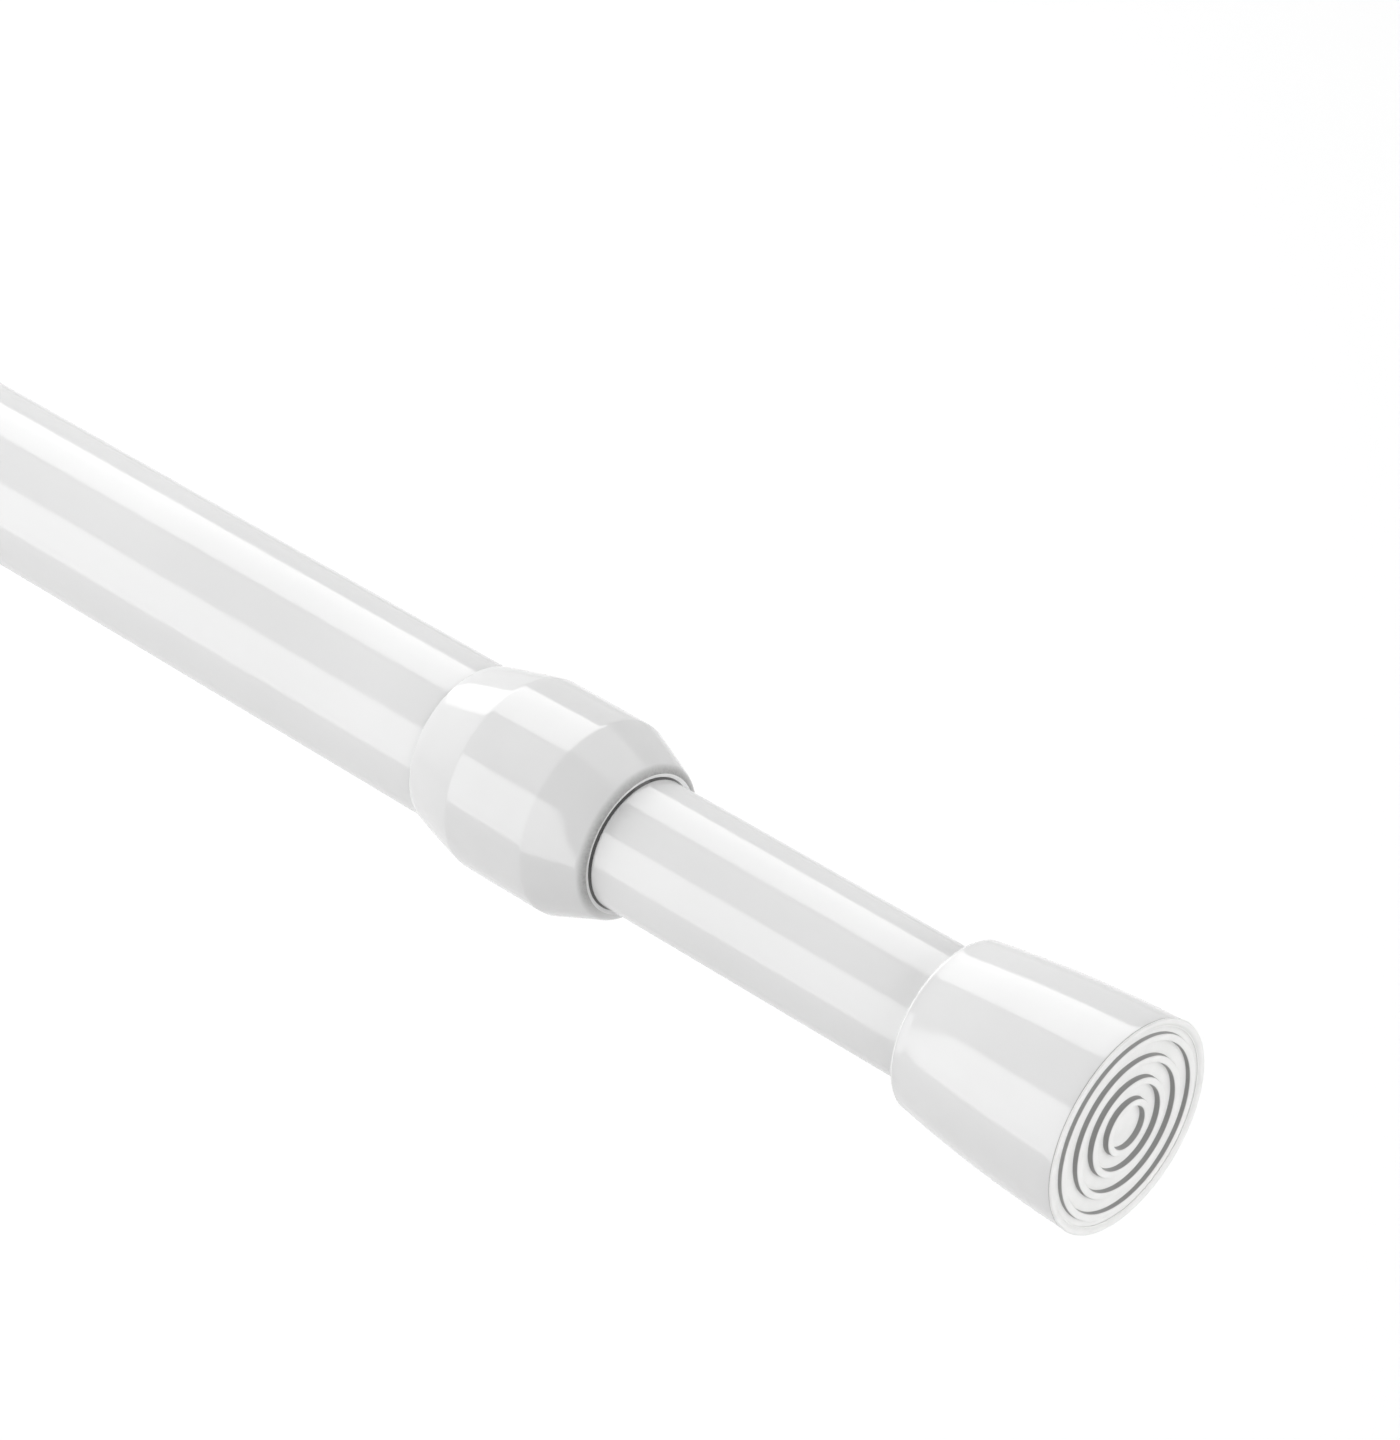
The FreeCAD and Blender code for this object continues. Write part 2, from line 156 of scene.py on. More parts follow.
# Light. Each box has its low and high edge in degrees round the rod from the front, its two
# ends in metres along the rod, and its levels at those edges, with white at 1. The room's
# levels run along the rod. The floor lies below it and a card stands beyond the far foot, with
# their sizes in metres too, and the lift is how much their paint glows where it is seen.
LAMP_DISTANCE = 1.25
SOFTBOXES = (
    ("side_softbox", (-20.7, 35.3), (-0.9, 0.1), (1.47, 1.47)),
    ("front_softbox", (-20.7, 35.3), (0.1, 0.6), (1.55, 1.55)),
    ("top_softbox", (93, 143), (-3, 0.1), (1.44, 2.07)),
    ("back_softbox", (93, 143), (0.1, 0.8), (0.59, 0.59)),
)
ROOM_LEVELS = (5.35, 0, 0, 0, 3.4)
DISC_SIDES = 64
FLOOR_DROP = 0.5
FLOOR_RADIUS = 4
FLOOR_LIFT = 0.51
CARD_DISTANCE = 0.1
CARD_RADIUS = 0.12


def colour(code):
    # A colour written as on screen, turned into the linear values that a shader takes.
    shades = []
    for place in (1, 3, 5):
        share = int(code[place:place + 2], 16) / 255
        if share <= 0.04045:
            shades.append(share / 12.92)
        else:
            shades.append(((share + 0.055) / 1.055) ** 2.4)
    return (shades[0], shades[1], shades[2], 1)


# Meshes

def arc(first, middle, last, steps):
    # Points on the circle through three points of an outline, both ends included.
    ax, ay = first[0] - middle[0], first[1] - middle[1]
    bx, by = last[0] - middle[0], last[1] - middle[1]
    area = 2 * (ax * by - ay * bx)
    square_a = ax * ax + ay * ay
    square_b = bx * bx + by * by
    centre_x = middle[0] + (by * square_a - ay * square_b) / area
    centre_y = middle[1] + (ax * square_b - bx * square_a) / area
    radius = math.hypot(first[0] - centre_x, first[1] - centre_y)
    start = math.atan2(first[1] - centre_y, first[0] - centre_x)
    end = math.atan2(last[1] - centre_y, last[0] - centre_x)
    sweep = (end - start + math.pi) % (2 * math.pi) - math.pi
    points = []
    for step in range(steps + 1):
        angle = start + sweep * step / steps
        points.append((centre_x + radius * math.cos(angle), centre_y + radius * math.sin(angle)))
    return points


def draw(mesh, corners, closed):
    # Lays an outline above the axis and rounds the corners that ask for it.
    points = []
    for corner in corners:
        points.append(mesh.verts.new((corner[0] * MM, 0, corner[1] * MM)))
    for here, there in zip(points, points[1:]):
        mesh.edges.new((here, there))
    if closed:
        mesh.edges.new((points[-1], points[0]))
    for point, corner in zip(points, corners):
        if len(corner) > 2:
            bmesh.ops.bevel(
                mesh,
                geom=[point],
                offset=corner[2] * MM,
                segments=ROUNDING_STEPS,
                profile=0.5,
                affect="VERTICES",
                material=-1,
            )


def spin_about_rod(mesh):
    bmesh.ops.spin(
        mesh,
        geom=mesh.verts[:] + mesh.edges[:],
        cent=(0, 0, 0),
        axis=(1, 0, 0),
        angle=2 * math.pi,
        steps=TURN_STEPS,
        use_merge=True,
    )
    bmesh.ops.remove_doubles(mesh, verts=mesh.verts, dist=0.0001 * MM)


def made_object(name, mesh, crease=CREASE):
    # Faces are smooth, and edges sharper than the crease, in degrees, stay crisp.
    bmesh.ops.recalc_face_normals(mesh, faces=mesh.faces)
    data = bpy.data.meshes.new(name)
    mesh.to_mesh(data)
    mesh.free()
    data.shade_smooth()
    data.set_sharp_from_angle(angle=math.radians(crease))
    piece = bpy.data.objects.new(name, data)
    bpy.context.scene.collection.objects.link(piece)
    return piece


def turned_mesh(corners):
    # A closed outline, turned once round the rod.
    mesh = bmesh.new()
    draw(mesh, corners, True)
    spin_about_rod(mesh)
    return mesh


def turned(name, corners):
    return made_object(name, turned_mesh(corners))


def close(mesh):
    # Fills every open rim with a face.
    rims = [edge for edge in mesh.edges if edge.is_boundary]
    bmesh.ops.holes_fill(mesh, edges=rims, sides=0)


def cut(mesh, place, away):
    # Cuts a mesh flat at a place, drops what lies beyond, and closes it.
    bmesh.ops.bisect_plane(
        mesh,
        geom=mesh.verts[:] + mesh.edges[:] + mesh.faces[:],
        plane_co=Vector(place) * MM,
        plane_no=away,
        clear_outer=True,
    )
    close(mesh)


def wind(mesh, geometry, turns, pitch):
    # Carries an outline round the rod and along it, as a right-handed helix.
    wound = bmesh.ops.spin(
        mesh,
        geom=geometry,
        cent=(0, 0, 0),
        axis=(1, 0, 0),
        angle=2 * math.pi * turns,
        steps=COIL_STEPS * turns,
        dvec=(pitch * MM / COIL_STEPS, 0, 0),
    )
    return wound["geom_last"]


def joined(name, parts):
    # One piece out of several closed meshes.
    mesh = bmesh.new()
    for part in parts:
        bmesh.ops.recalc_face_normals(part, faces=part.faces)
        data = bpy.data.meshes.new(name)
        part.to_mesh(data)
        part.free()
        mesh.from_mesh(data)
        bpy.data.meshes.remove(data)
    return made_object(name, mesh)


def low_x(node):
    # Where a solid of the part's source starts along the rod, in millimetres.
    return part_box(node)[0].x / MM


def high_x(node):
    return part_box(node)[1].x / MM


# Materials

def add(tree, kind, feeds=None, **settings):
    # Adds a node. The settings are its fields, and each feed is an input, by name or number,
    # with its value or the socket that it takes its value from.
    node = tree.nodes.new(kind)
    for field, value in settings.items():
        setattr(node, field, value)
    for place, value in (feeds or {}).items():
        if isinstance(value, bpy.types.NodeSocket):
            tree.links.new(value, node.inputs[place])
        else:
            node.inputs[place].default_value = value
    return node


def in_millimetres(tree):
    # Places on the object, counted in millimetres.
    place = add(tree, "ShaderNodeTexCoord").outputs["Object"]
    return add(tree, "ShaderNodeVectorMath", {0: place, "Scale": 1 / MM}, operation="SCALE").outputs[0]


def drift(tree, size, low, high):
    # Values that wander from low to high, in lumps of about the size in millimetres. Most of
    # the noise lies between 0.3 and 0.7.
    noise = add(tree, "ShaderNodeTexNoise", {"Vector": in_millimetres(tree), "Scale": 1 / size})
    spread = {
        "Value": noise.outputs["Fac"],
        "From Min": 0.3,
        "From Max": 0.7,
        "To Min": low,
        "To Max": high,
    }
    return add(tree, "ShaderNodeMapRange", spread).outputs["Result"]


def from_axis(tree):
    # How far the surface is from the rod's axis, in millimetres.
    place = add(tree, "ShaderNodeSeparateXYZ", {0: in_millimetres(tree)})
    across = add(tree, "ShaderNodeCombineXYZ", {"Y": place.outputs["Y"], "Z": place.outputs["Z"]})
    return add(tree, "ShaderNodeVectorMath", {0: across.outputs[0]}, operation="LENGTH").outputs["Value"]


def place_along(tree, axis):
    # How far along one of the frame's axes the surface is: X along the rod, Z up.
    return add(tree, "ShaderNodeSeparateXYZ", {0: in_millimetres(tree)}).outputs[axis]


def rising(tree, value, none_at, full_at):
    # A soft mask: 0 up to the first value, 1 from the second.
    ends = {"Value": value, "From Min": none_at, "From Max": full_at}
    return add(tree, "ShaderNodeMapRange", ends, interpolation_type="SMOOTHSTEP").outputs["Result"]


def where_both(tree, first, second):
    return add(tree, "ShaderNodeMath", {0: first, 1: second}, operation="MULTIPLY").outputs[0]


def covered(tree, surface, under, amount, code):
    # Lays a colour over the one under it.
    feeds = {"Factor": amount, "A": under, "B": colour(code)}
    shown = add(tree, "ShaderNodeMix", feeds, data_type="RGBA").outputs["Result"]
    tree.links.new(shown, surface.inputs["Base Color"])
    return shown


def finished(name, tones, tone_size, gloss, gloss_size, relief, relief_size):
    # A material whose colour, gloss and relief each wander at their own scale. Sizes and the
    # relief's depth are in millimetres, and gloss is a range of roughness.
    material = bpy.data.materials.new(name)
    material.use_nodes = True
    tree = material.node_tree
    tree.nodes.clear()
    patches = drift(tree, tone_size, 0, 1)
    feeds = {"Factor": patches, "A": colour(tones[0]), "B": colour(tones[1])}
    tone = add(tree, "ShaderNodeMix", feeds, data_type="RGBA").outputs["Result"]
    height = drift(tree, relief_size, 0, 1)
    bump = add(tree, "ShaderNodeBump", {"Height": height, "Distance": relief * MM})
    feeds = {
        "Base Color": tone,
        "Roughness": drift(tree, gloss_size, gloss[0], gloss[1]),
        "Normal": bump.outputs["Normal"],
    }
    surface = add(tree, "ShaderNodeBsdfPrincipled", feeds)
    add(tree, "ShaderNodeOutputMaterial", {"Surface": surface.outputs["BSDF"]})
    return material, surface, tone


def powder_coat():
    # Sprayed as powder and baked until it flowed out: a hard, bright gloss that hides the
    # colour at a flat angle, with a faint orange peel.
    material, surface = finished(
        "baked_powder_coat",
        tones=("#DADADA", "#DFDFDF"),
        tone_size=24,
        gloss=(0.09, 0.14),
        gloss_size=6,
        relief=0.006,
        relief_size=1.6,
    )[:2]
    surface.inputs["Specular IOR Level"].default_value = 1.0
    return material


def moulded_abs(name):
    # Injected into a polished mould: a bright gloss over slow waves where the plastic shrank.
    material, surface, tone = finished(
        name,
        tones=("#D3D3D3", "#D7D7D7"),
        tone_size=9,
        gloss=(0.07, 0.12),
        gloss_size=3,
        relief=0.006,
        relief_size=2.5,
    )
    surface.inputs["Specular IOR Level"].default_value = 1.0
    return material, surface, tone


def cup_abs():
    # The polished moulding, with painted shade in the seam round its pad, at either end of the rod.
    material, surface, tone = moulded_abs("moulded_abs")
    tree = material.node_tree
    # Painted shade in the seam round the pad.
    middle = high_x("inner_end_pad") / 2
    from_middle = {0: place_along(tree, "X"), 1: middle}
    off_middle = add(tree, "ShaderNodeMath", from_middle, operation="SUBTRACT").outputs[0]
    either_way = add(tree, "ShaderNodeMath", {0: off_middle}, operation="ABSOLUTE").outputs[0]
    in_seam = rising(tree, either_way, middle - PAD_LIP - SEAM_SHADE, middle - PAD_LIP)
    covered(tree, surface, tone, in_seam, "#6E6E6D")
    return material


def collar_abs():
    # The polished moulding, with painted shade round its mouth that fades out towards the lower side.
    # The funnel inside the rim is painted lighter as a painted highlight, and the gap in its neck is
    # painted near black as painted shadow.
    material, surface, tone = moulded_abs("moulded_abs_with_painted_shade_and_highlight")
    tree = material.node_tree
    out = from_axis(tree)
    front = high_x("collar")
    # Painted shade round the mouth, fading out towards the lower side, with a fine grain.
    near_rim = rising(tree, place_along(tree, "X"), front - MOUTH_SHADE, front)
    on_upper_side = rising(tree, place_along(tree, "Z"), SHADE_NONE_AT, SHADE_FULL_AT)
    shaded = where_both(tree, on_upper_side, near_rim)
    speckled = where_both(tree, shaded, drift(tree, SHADE_GRAIN, 0.8, 1))
    greyed = covered(tree, surface, tone, speckled, "#8C8C8B")
    # A painted highlight: the funnel inside the rim is painted lighter.
    on_funnel = rising(tree, out, RIM_RADIUS, RIM_RADIUS - HIGHLIGHT_EDGE)
    highlighted = covered(tree, surface, greyed, on_funnel, "#F2F2F2")
    # Painted shadow: the gap in the neck and its fillet are painted near black.
    in_gap = rising(tree, out, NECK_RADIUS, NECK_RADIUS - SHADOW_FILL_BLEND)
    covered(tree, surface, highlighted, in_gap, "#0C0C0C")
    return material


def soft_pvc():
    # Moulded soft in an etched mould: a fine-grained satin, with painted shade on the rings' steep
    # sides.
    material, surface, tone = finished(
        "moulded_soft_pvc",
        tones=("#E4E4E3", "#EAEAE9"),
        tone_size=2,
        gloss=(0.42, 0.55),
        gloss_size=0.5,
        relief=0.004,
        relief_size=0.25,
    )
    tree = material.node_tree
    # Painted shade on the rings' steep sides, between the rings.
    look = add(tree, "ShaderNodeTexCoord").outputs["Normal"]
    towards_wall = add(tree, "ShaderNodeSeparateXYZ", {0: look}).outputs["X"]
    either_way = add(tree, "ShaderNodeMath", {0: towards_wall}, operation="ABSOLUTE").outputs[0]
    steep = rising(tree, either_way, WALL_SHADE_STARTS_AT, WALL_SHADE_FULL_AT)
    on_face = rising(tree, from_axis(tree), CUP_FRONT_RADIUS - CUP_RIM_WALL, PAD_LAND)
    covered(tree, surface, tone, where_both(tree, steep, on_face), "#989897")
    return material


def nylon():
    # Moulded unfilled: milky and waxy, with light let a little way in.
    material, surface = finished(
        "moulded_nylon",
        tones=("#DAD4C2", "#E3DECF"),
        tone_size=4,
        gloss=(0.36, 0.5),
        gloss_size=0.8,
        relief=0.004,
        relief_size=0.6,
    )[:2]
    surface.inputs["Subsurface Weight"].default_value = 0.2
    surface.inputs["Subsurface Scale"].default_value = MM
    return material


def acetal():
    # Moulded hard and slippery: a cool grey satin.
    return finished(
        "moulded_acetal",
        tones=("#5A5C60", "#65676B"),
        tone_size=3,
        gloss=(0.26, 0.4),
        gloss_size=0.7,
        relief=0.003,
        relief_size=0.35,
    )[0]


def zinc_plated_steel():
    # Turned from bar and plated: fine lathe marks, rings along a barrel and across a face,
    # under a bluish film that yellows in patches.
    material, surface = finished(
        "turned_steel_zinc_plated",
        tones=("#B4BAC1", "#C3C3B8"),
        tone_size=5,
        gloss=(0.24, 0.36),
        gloss_size=1.2,
        relief=0.002,
        relief_size=0.5,
    )[:2]
    surface.inputs["Metallic"].default_value = 1.0
    tree = material.node_tree
    feeds = {"X": place_along(tree, "X"), "Y": from_axis(tree)}
    rings = add(tree, "ShaderNodeCombineXYZ", feeds).outputs[0]
    marks = add(tree, "ShaderNodeTexNoise", {"Vector": rings, "Scale": 1 / LATHE_FEED}).outputs["Fac"]
    bump = add(tree, "ShaderNodeBump", {"Height": marks, "Distance": LATHE_RELIEF * MM})
    tree.links.new(bump.outputs["Normal"], surface.inputs["Normal"])
    return material


def spring_steel():
    # Drawn through a die, coiled and oiled: dark grey, with a thin wet film over it.
    material, surface = finished(
        "drawn_spring_steel",
        tones=("#6C6F73", "#7A7975"),
        tone_size=2.5,
        gloss=(0.28, 0.42),
        gloss_size=0.4,
        relief=0.002,
        relief_size=0.15,
    )[:2]
    surface.inputs["Metallic"].default_value = 1.0
    surface.inputs["Coat Weight"].default_value = 0.4
    surface.inputs["Coat Roughness"].default_value = 0.12
    return material


def rubber():
    # Pressed in a hot mould: dull, with a grey bloom that comes out of it in time.
    return finished(
        "moulded_rubber",
        tones=("#1A1A1A", "#2B2A28"),
        tone_size=1.5,
        gloss=(0.6, 0.8),
        gloss_size=0.6,
        relief=0.005,
        relief_size=0.2,
    )[0]


# Visible pieces

def tube(name, start, end, radius, beads):
    # Thin drawn tube, with rolled grooves where a plug is held inside it.
    bore = radius - TUBE_WALL
    outside = []
    inside = []
    for place in beads:
        for shell, surface in ((outside, radius), (inside, bore)):
            first = (place - BEAD_HALF_WIDTH, surface)
            last = (place + BEAD_HALF_WIDTH, surface)
            shell.extend(arc(first, (place, surface - BEAD_DEPTH), last, steps=8))
    corners = [(start, radius, TUBE_EDGE)] + outside + [(end, radius, TUBE_EDGE)]
    corners += [(end, bore, TUBE_EDGE)] + inside[::-1] + [(start, bore, TUBE_EDGE)]
    return turned(name, corners)


def collar():
    # The cap on the wide tube's mouth: two cones with a plain band between them.
    seat = OUTER_RADIUS + SEAT_GAP
    front = high_x("collar")
    mouth = front - LIP
    band_front = mouth - FRONT_LENGTH
    band_rear = band_front - BAND_LENGTH
    rear = low_x("collar")
    middle = (rear + band_rear) / 2
    bulge = (REAR_RADIUS + BAND_RADIUS) / 2 + REAR_BULGE
    shoulder = mouth - MOUTH_DEPTH
    corners = [(rear, seat, REAR_SEAT_EDGE), (rear, REAR_RADIUS, REAR_EDGE)]
    corners += arc((rear, REAR_RADIUS), (middle, bulge), (band_rear, BAND_RADIUS), steps=6)[1:-1]
    corners += [
        (band_rear, BAND_RADIUS, EDGE),
        (band_front, BAND_RADIUS, EDGE),
        (mouth, MOUTH_RADIUS + LIP_WALL, SHOULDER_ROUNDING),
        (front, RIM_RADIUS, RIM_EDGE),
        (front - NECK_DEPTH, NECK_RADIUS),
        # A fillet that fills the gap round the thin tube, painted near black as painted shadow.
        (front + SHADOW_FILL_PROUD, SHADOW_FILL_RADIUS),
        (front - SHADOW_FILL_DEPTH, SHADOW_FILL_RADIUS),
        (front - SHADOW_FILL_DEPTH, MOUTH_RADIUS),
        (shoulder, MOUTH_RADIUS),
        (shoulder, seat),
    ]
    return turned("collar_moulding", corners)


def cup(name, tube_radius, rear_wall):
    # The flared cup, with its socket behind the web and its pocket before it.
    seam = PAD_LIP
    rear = seam + CUP_LENGTH
    web_front = seam + POCKET_DEPTH
    web_back = web_front + WEB
    pocket = CUP_FRONT_RADIUS - CUP_RIM_WALL
    rear_radius = tube_radius + rear_wall
    middle = (seam + rear) / 2
    middle_radius = rear_radius + (CUP_FRONT_RADIUS - rear_radius) * (0.5 + FLARE_BULGE)
    socket = tube_radius + SEAT_GAP
    flare_start = (seam + CUP_FRONT_EDGE, CUP_FRONT_RADIUS)
    flare_end = (rear - CUP_REAR_EDGE, rear_radius)
    corners = [(seam, pocket, SEAT_GAP), (seam, CUP_FRONT_RADIUS, CUP_FRONT_EDGE)]
    corners += arc(flare_start, (middle, middle_radius), flare_end, steps=24)[1:]
    corners += [
        (rear, rear_radius, CUP_REAR_ROUNDING),
        (rear, socket, EDGE),
        (web_back, socket),
        (web_back, STEM_HOLE),
        (web_front, STEM_HOLE),
        (web_front, pocket),
    ]
    return turned(name, corners)


def floor_depth(radius):
    # How deep the dished floor between the rings lies behind their tops.
    return RING_HEIGHT - DISH_RISE * (radius / (CUP_FRONT_RADIUS - CUP_RIM_WALL)) ** 3


def pad(name):
    # One soft moulding: four gripping rings on a dished floor, a lip over the cup's edge, and
    # a stem with a snap head behind.
    lip = CUP_FRONT_RADIUS + SEAT_GAP
    skirt = CUP_FRONT_RADIUS - CUP_RIM_WALL - SEAT_GAP
    back = PAD_LIP + POCKET_DEPTH - SEAT_GAP
    head = PAD_LIP + POCKET_DEPTH + WEB + SEAT_GAP
    end = head + STEM_HEAD_LENGTH
    corners = [(floor_depth(0), 0)]
    for number in range(RING_COUNT):
        inner = FIRST_RING + number * RING_PITCH - RING_WIDTH / 2
        outer = inner + RING_WIDTH
        corners += [
            (floor_depth(inner), inner, GROOVE_FILLET),
            (0, inner + RING_DRAFT, RING_EDGE),
            (0, outer - RING_DRAFT, RING_EDGE),
            (floor_depth(outer), outer, GROOVE_FILLET),
        ]
    corners += [
        (floor_depth(PAD_LAND), PAD_LAND, EDGE),
        (PAD_EDGE_DROP, lip - 2 * PAD_LIP, EDGE),
        (PAD_EDGE_DROP, lip - PAD_EDGE_DROP, RING_EDGE),
        (PAD_LIP, lip, SEAT_GAP),
        (PAD_LIP, skirt),
        (back, skirt, RING_EDGE),
        (back, skirt - SKIRT_WALL),
        (PAD_BACK, skirt - SKIRT_WALL, EDGE),
        (PAD_BACK, STEM_ROOT, EDGE),
        (back, STEM_ROOT),
        (back, STEM_RADIUS),
        (head, STEM_RADIUS),
        (head, STEM_HEAD, RING_EDGE),
        (head + STEM_HEAD_LENGTH / 4, STEM_HEAD, EDGE),
        (end, 2 * STEM_RADIUS - STEM_HEAD + STEM_HEAD_LENGTH / 4, EDGE),
        (end, 0),
    ]
    return turned(name, corners)


def turn_to_near_end(piece):
    # A foot is drawn at the far wall; this turns one round and carries it to the near wall.
    mesh = bmesh.new()
    mesh.from_mesh(piece.data)
    bmesh.ops.rotate(mesh, verts=mesh.verts, cent=(0, 0, 0), matrix=Matrix.Rotation(math.pi, 3, "Z"))
    bmesh.ops.translate(mesh, verts=mesh.verts, vec=(high_x("inner_end_pad") * MM, 0, 0))
    mesh.to_mesh(piece.data)
    mesh.free()


# Hidden pieces

def thread(start, end, crest, pitch):
    # One pitch of a rounded thread, wound along the rod from well before its start to well past
    # its end, and then cut square at both.
    root = crest - THREAD_DEPTH * pitch
    first = start - 1.5 * pitch
    mesh = bmesh.new()
    corners = [(first, root)]
    for share in THREAD_CREST:
        corners.append((first + share * pitch, crest, THREAD_ROUNDING * pitch))
    corners += [(first + THREAD_FOOT * pitch, root), (first + pitch, root)]
    draw(mesh, corners, False)
    wind(mesh, mesh.verts[:] + mesh.edges[:], math.ceil((end - start) / pitch) + 2, pitch)
    bmesh.ops.remove_doubles(mesh, verts=mesh.verts, dist=0.001 * MM)
    cut(mesh, (start, 0, 0), (-1, 0, 0))
    cut(mesh, (end, 0, 0), (1, 0, 0))
    return mesh


def spindle():
    # Screw, journal, thrust flange, flat-sided shaft and threaded tail.
    journal = low_x("grip_collet") + COLLET_TAPER
    flange = high_x("thrust_washer") + SEAT_GAP
    shaft = flange + FLANGE_THICKNESS
    tail = low_x("tail_washer") - SEAT_GAP
    middle = turned_mesh([
        (journal, 0),
        (journal, SCREW_RADIUS),
        (journal + JOURNAL_SHOULDER, JOURNAL_RADIUS),
        (flange, JOURNAL_RADIUS),
        (flange, FLANGE_RADIUS, EDGE),
        (shaft, FLANGE_RADIUS, EDGE),
        (shaft, 0),
    ])
    drive = turned_mesh([(shaft, 0), (shaft, SHAFT_RADIUS), (tail, SHAFT_RADIUS, EDGE), (tail, 0)])
    for side in (-1, 1):
        cut(drive, (0, side * SHAFT_FLAT, 0), (0, side, 0))
    return joined("turned_spindle", [
        thread(low_x("spindle"), journal, SCREW_RADIUS, SCREW_PITCH),
        middle,
        drive,
        thread(tail, high_x("spindle"), TAIL_RADIUS, TAIL_PITCH),
    ])


def spring():
    # Closed and ground coil: one flat turn at each end, and open turns between them.
    start = low_x("compression_spring")
    end = high_x("compression_spring")
    flat_pitch = SPRING_WIRE + SEAT_GAP
    open_pitch = (end - start - SPRING_WIRE - 2 * flat_pitch) / SPRING_TURNS
    mesh = bmesh.new()
    first = Matrix.Translation(Vector((start + SPRING_WIRE / 2, 0, -SPRING_RADIUS)) * MM)
    bmesh.ops.create_circle(
        mesh,
        segments=WIRE_SIDES,
        radius=SPRING_WIRE / 2 * MM,
        matrix=first @ Matrix.Rotation(math.pi / 2, 4, "X"),
    )
    section = mesh.verts[:] + mesh.edges[:]
    for turns, pitch in ((1, flat_pitch), (SPRING_TURNS, open_pitch), (1, flat_pitch)):
        section = wind(mesh, section, turns, pitch)
    close(mesh)
    piece = made_object("coiled_spring", mesh, crease=40)
    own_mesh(piece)
    return piece


def dress(material, names):
    # Gives their finish to solids that stay as they are.
    for name in names:
        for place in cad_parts[name].material_slots:
            place.material = material


def fit(piece, body, node, material):
    # Hands a finished piece to its body, in place of the plain solid.
    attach(piece, body)
    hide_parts(node)
    piece.data.materials.append(material)


# Studio

def softbox(name, edges, ends, levels):
    # A long box parallel to the rod, which glows from the first level at its low edge to the
    # second at its high edge.
    middle = math.radians(sum(edges) / 2)
    lamp = bpy.data.lights.new(name, "AREA")
    lamp.shape = "RECTANGLE"
    lamp.size = ends[1] - ends[0]
    lamp.size_y = 2 * LAMP_DISTANCE * math.tan(math.radians((edges[1] - edges[0]) / 2))
    # A level of 1 is white at this energy.
    lamp.energy = math.pi * lamp.size * lamp.size_y
    lamp.use_nodes = True
    tree = lamp.node_tree
    tree.nodes.clear()
    spot = add(tree, "ShaderNodeNewGeometry").outputs["Parametric"]
    across = add(tree, "ShaderNodeSeparateXYZ", {0: spot}).outputs["Y"]
    ramp = add(tree, "ShaderNodeMapRange", {"Value": across, "To Min": levels[0], "To Max": levels[1]})
    glow = add(tree, "ShaderNodeEmission", {"Strength": ramp.outputs["Result"]})
    add(tree, "ShaderNodeOutputLight", {"Surface": glow.outputs["Emission"]})
    along = Vector((1, 0, 0))
    outwards = Vector((0, -math.cos(middle), math.sin(middle)))
    piece = bpy.data.objects.new(name, lamp)
    place = Matrix.Translation(outwards * LAMP_DISTANCE + along * sum(ends) / 2)
    piece.matrix_world = place @ Matrix((along, outwards.cross(along), outwards)).transposed().to_4x4()
    piece.visible_camera = False
    bpy.context.scene.collection.objects.link(piece)


def background_rays(tree):
    # 1 where the background itself is seen, straight on or in gloss and glass.
    path = add(tree, "ShaderNodeLightPath").outputs
    straight_or_gloss = {0: path["Is Camera Ray"], 1: path["Is Glossy Ray"]}
    seen = add(tree, "ShaderNodeMath", straight_or_gloss, operation="MAXIMUM").outputs[0]
    any_way = {0: seen, 1: path["Is Transmission Ray"]}
    return add(tree, "ShaderNodeMath", any_way, operation="MAXIMUM").outputs[0]


def room():
    # A white room, whose light on the rod differs along it.
    world = bpy.data.worlds.new("room")
    bpy.context.scene.world = world
    world.use_nodes = True
    tree = world.node_tree
    tree.nodes.clear()
    way = add(tree, "ShaderNodeTexCoord").outputs["Generated"]
    along = add(tree, "ShaderNodeSeparateXYZ", {0: way}).outputs["X"]
    share = add(tree, "ShaderNodeMapRange", {"Value": along, "From Min": -1}).outputs["Result"]
    shade = add(tree, "ShaderNodeValToRGB", {"Fac": share})
    stops = shade.color_ramp.elements
    last = len(ROOM_LEVELS) - 1
    for number in range(1, last):
        stops.new(number / last)
    for stop, level in zip(stops, ROOM_LEVELS):
        stop.color = (level, level, level, 1)
    lit = add(tree, "ShaderNodeBackground", {"Color": shade.outputs["Color"]})
    white = add(tree, "ShaderNodeBackground", {"Color": (1, 1, 1, 1)})
    kinds = {0: background_rays(tree), 1: lit.outputs["Background"], 2: white.outputs["Background"]}
    shown = add(tree, "ShaderNodeMixShader", kinds)
    add(tree, "ShaderNodeOutputWorld", {"Surface": shown.outputs["Shader"]})


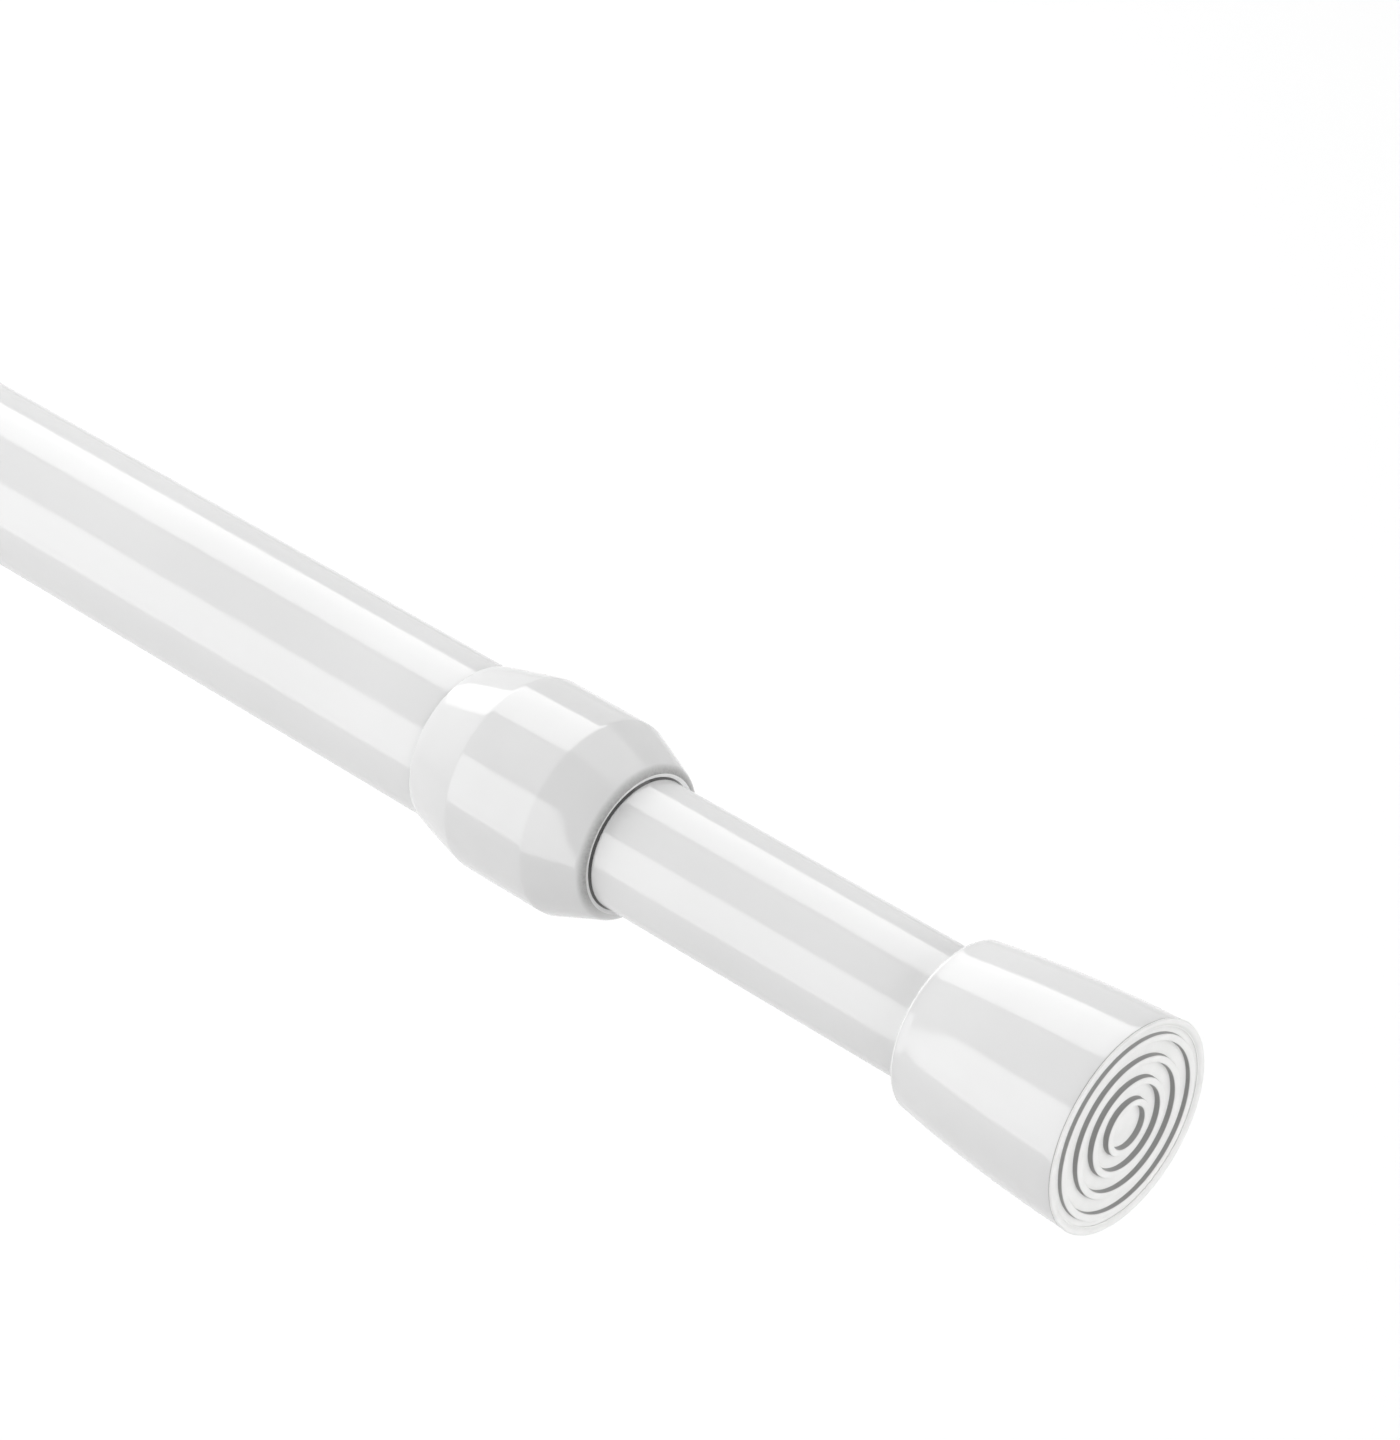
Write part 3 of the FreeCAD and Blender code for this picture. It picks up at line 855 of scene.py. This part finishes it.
def pale_paint():
    # Matt and pale, lifted to white where it is seen, so that it keeps the rod's soft shadow.
    material = bpy.data.materials.new("pale_paint")
    material.use_nodes = True
    tree = material.node_tree
    tree.nodes.clear()
    lift = {0: background_rays(tree), 1: FLOOR_LIFT}
    strength = add(tree, "ShaderNodeMath", lift, operation="MULTIPLY").outputs[0]
    white = add(tree, "ShaderNodeEmission", {"Strength": strength})
    pale = add(tree, "ShaderNodeBsdfDiffuse", {"Color": colour("#B4B4B4")})
    both = add(tree, "ShaderNodeAddShader", {0: pale.outputs["BSDF"], 1: white.outputs["Emission"]})
    add(tree, "ShaderNodeOutputMaterial", {"Surface": both.outputs["Shader"]})
    return material


def stage_disc(name, radius, place, material):
    mesh = bmesh.new()
    bmesh.ops.create_circle(mesh, cap_ends=True, radius=radius, segments=DISC_SIDES, matrix=place)
    piece = made_object(name, mesh)
    piece.data.materials.append(material)
    return piece


def studio():
    # A floor below, and a card beyond the far foot, which keeps the room's bright end off it.
    room()
    paint = pale_paint()
    stage_disc("floor", FLOOR_RADIUS, Matrix.Translation((0, 0, -FLOOR_DROP)), paint)
    upright = Matrix.Translation((-CARD_DISTANCE, 0, 0)) @ Matrix.Rotation(math.pi / 2, 4, "Y")
    card = stage_disc("far_card", CARD_RADIUS, upright, paint)
    card.visible_camera = False
    for name, edges, ends, levels in SOFTBOXES:
        softbox(name, edges, ends, levels)
    bpy.context.scene.view_settings.view_transform = "Standard"


def camera():
    lens = bpy.data.cameras.new("camera")
    lens.lens = FOCAL_LENGTH
    lens.clip_start = 0.01
    lens.clip_end = 20
    eye = bpy.data.objects.new("camera", lens)
    bpy.context.scene.collection.objects.link(eye)
    mouth = Vector((high_x("collar") - LIP, 0, 0))
    eye.location = (mouth + Vector(CAMERA_FROM_MOUTH)) * MM
    eye.rotation_mode = "QUATERNION"
    eye.rotation_quaternion = Vector(CAMERA_AIM).to_track_quat("-Z", "Y")
    bpy.context.scene.camera = eye


# The rod in its dressing

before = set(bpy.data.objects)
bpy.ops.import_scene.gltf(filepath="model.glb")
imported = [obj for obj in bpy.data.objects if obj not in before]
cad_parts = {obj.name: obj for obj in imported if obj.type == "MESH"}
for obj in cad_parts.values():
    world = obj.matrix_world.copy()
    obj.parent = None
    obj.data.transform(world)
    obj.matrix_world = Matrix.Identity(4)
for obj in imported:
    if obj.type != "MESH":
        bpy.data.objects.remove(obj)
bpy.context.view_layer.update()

coat = powder_coat()
abs_white = cup_abs()
pvc = soft_pvc()
zinc = zinc_plated_steel()

outer_tube = tube("outer_tube_finished", low_x("outer_tube"), high_x("outer_tube"), OUTER_RADIUS, [])
fit(outer_tube, "outer", "outer_tube", coat)
beads = [low_x("inner_tube") + BEAD_FROM_END, high_x("spring_stop_plug") - BEAD_FROM_END]
inner_tube = tube("inner_tube_finished", low_x("inner_tube"), high_x("inner_tube"), INNER_RADIUS, beads)
fit(inner_tube, "inner", "inner_tube", coat)
fit(collar(), "outer", "collar", collar_abs())

fit(cup("far_cup", OUTER_RADIUS, FAR_CUP_WALL), "outer", "outer_end_cup", abs_white)
fit(pad("far_pad"), "outer", "outer_end_pad", pvc)
near_cup = cup("near_cup", INNER_RADIUS, NEAR_CUP_WALL)
turn_to_near_end(near_cup)
fit(near_cup, "inner", "inner_end_cup", abs_white)
near_pad = pad("near_pad")
turn_to_near_end(near_pad)
fit(near_pad, "inner", "inner_end_pad", pvc)

fit(spindle(), "spindle", "spindle", zinc)
fit(spring(), "spindle", "compression_spring", spring_steel())
dress(zinc, ["end_nut", "thrust_washer", "tail_washer", "tail_nut"])
dress(nylon(), ["guide_sleeve", "grip_collet", "guide_bush", "spring_stop_plug"])
dress(acetal(), ["expander_cone"])
dress(rubber(), ["drag_ring_rear", "drag_ring_front"])

studio()
camera()
